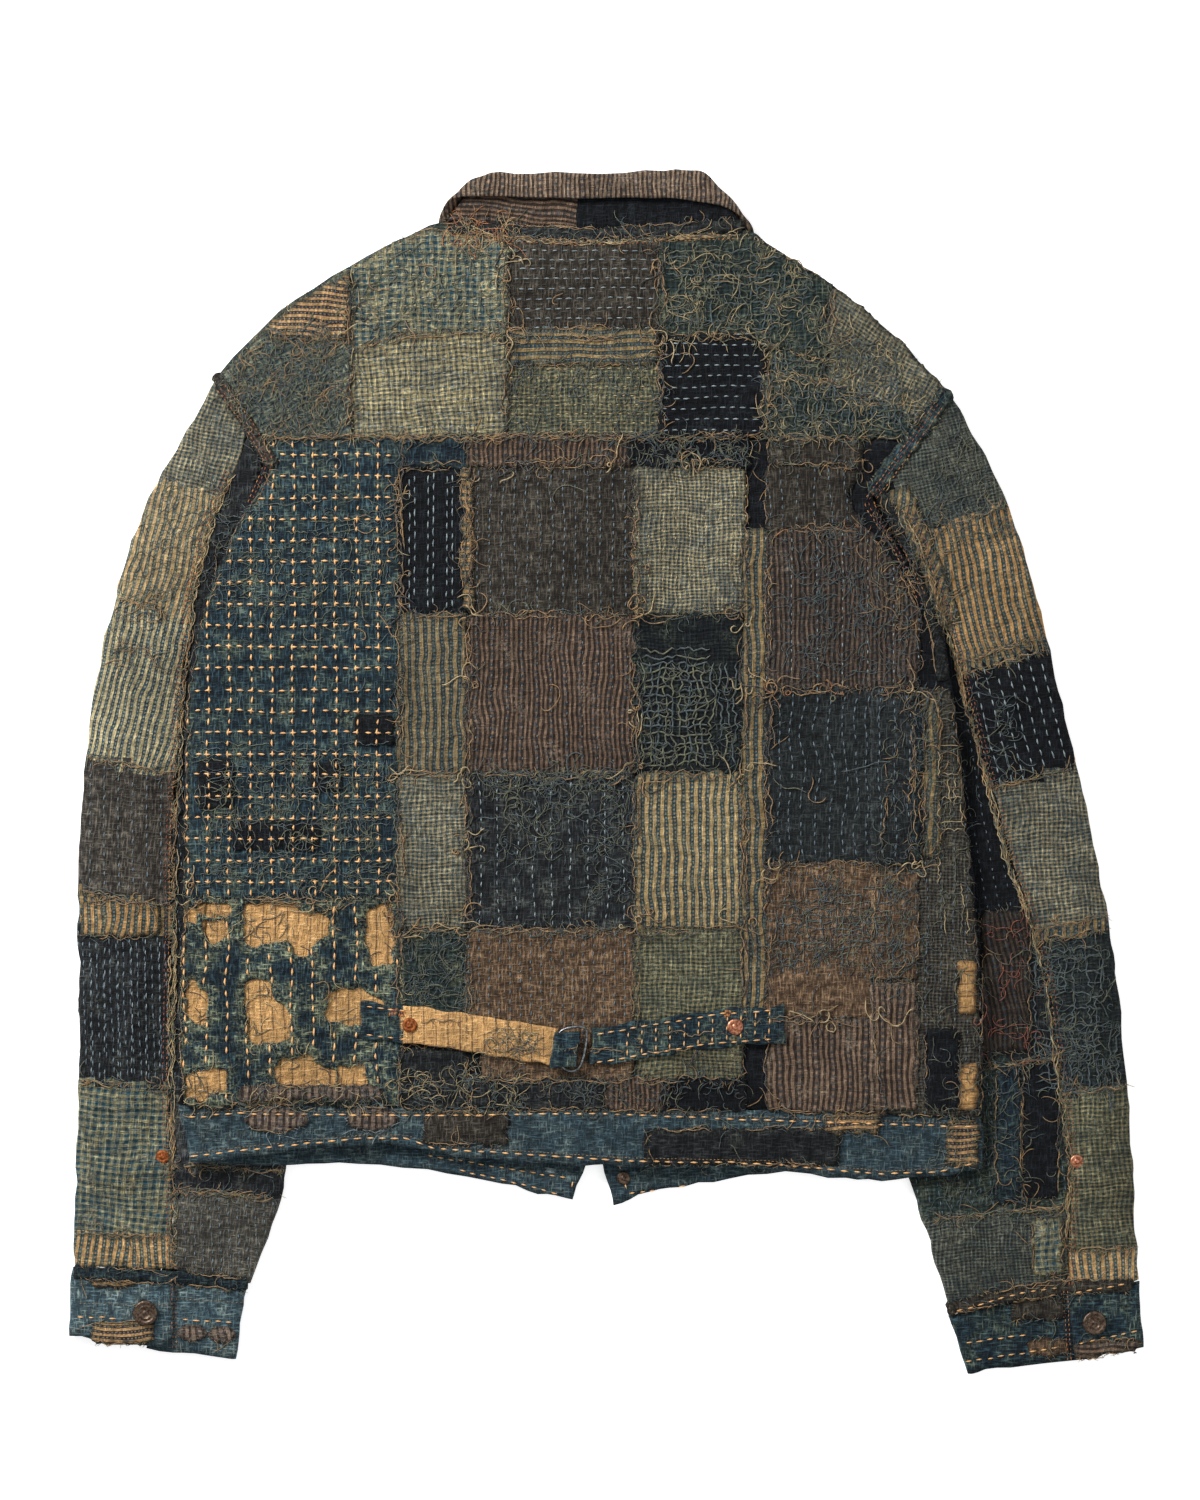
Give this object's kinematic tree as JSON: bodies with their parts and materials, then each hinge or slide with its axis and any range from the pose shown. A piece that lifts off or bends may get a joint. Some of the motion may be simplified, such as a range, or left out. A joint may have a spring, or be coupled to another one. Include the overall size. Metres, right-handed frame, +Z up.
{
  "type": "patched boro jacket",
  "caption": "Patched denim work jacket lying face down: yoked back with sewn-on patches and a cinch belt, waistband, turn-down collar, and buttoned-cuff sleeves tucked beside the body.",
  "frame": {"origin": "on the floor, under the middle of the jacket's box", "axes": "+Y towards the collar, +X towards the wearer's right sleeve as it lies face down, +Z up, out of the jacket's back"},
  "size_m": [0.7222, 0.8078, 0.0225],
  "materials": {
    "indigo_denim": "worn indigo cotton with peach running stitches",
    "navy_cloth": "worn navy cotton with pale running stitches",
    "brown_twill": "worn grey-brown cotton",
    "check_cloth": "small beige and blue check, worn",
    "tan_stripe": "tan and teal woven stripes, worn",
    "teal_cloth": "dark teal cotton with fuzzy mesh",
    "peach_cloth": "peach cotton with thin dark lines",
    "copper": "tarnished copper",
    "steel_wire": "worn bright wire",
    "button_metal": "dark tarnished metal"
  },
  "bodies": {
    "root": {"back_panel": "indigo_denim", "yoke": "indigo_denim", "front_left": "indigo_denim", "front_right": "indigo_denim", "waistband": "indigo_denim", "cuff_left": "indigo_denim", "cuff_right": "indigo_denim", "patch_sashiko_grid": "indigo_denim", "patch_worn_indigo": "indigo_denim", "cinch_tab_right": "indigo_denim", "cinch_keeper": "indigo_denim", "sleeve_left_inner": "navy_cloth", "sleeve_right_inner": "navy_cloth", "collar_stand": "navy_cloth", "patch_navy_narrow": "navy_cloth", "patch_navy_worn": "navy_cloth", "patch_navy_mesh": "navy_cloth", "patch_yoke_navy": "navy_cloth", "collar_fall": "brown_twill", "patch_brown_plain": "brown_twill", "patch_brown_stripe": "brown_twill", "patch_brown_low": "brown_twill", "patch_yoke_grey": "brown_twill", "patch_grey_right": "brown_twill", "patch_brown_mesh": "brown_twill", "patch_brown_worn": "brown_twill", "patch_brown_rib": "brown_twill", "sleeve_left_outer": "check_cloth", "sleeve_right_outer": "check_cloth", "patch_check_narrow": "check_cloth", "patch_check_light": "check_cloth", "patch_check_low": "check_cloth", "patch_yoke_blue": "check_cloth", "patch_yoke_check": "check_cloth", "patch_shoulder_right": "check_cloth", "patch_stripe_narrow": "tan_stripe", "patch_stripe_tan": "tan_stripe", "patch_strip": "tan_stripe", "patch_yoke_mixed": "tan_stripe", "patch_mesh_narrow": "teal_cloth", "patch_teal_right": "teal_cloth", "patch_side_right": "teal_cloth", "patch_yoke_green": "teal_cloth", "patch_shoulder_left": "teal_cloth", "patch_shoulder_worn": "teal_cloth", "cinch_tab_left": "peach_cloth", "rivet_cinch_left": "copper", "rivet_cinch_right": "copper", "rivet_sleeve_left": "copper", "rivet_sleeve_right": "copper", "tack_waist": "copper", "cinch_buckle": "steel_wire", "button_cuff_left": "button_metal", "button_cuff_right": "button_metal", "button_front_1": "button_metal", "button_front_2": "button_metal", "button_front_3": "button_metal", "button_front_4": "button_metal", "button_waist": "button_metal"}
  },
  "joints": []
}
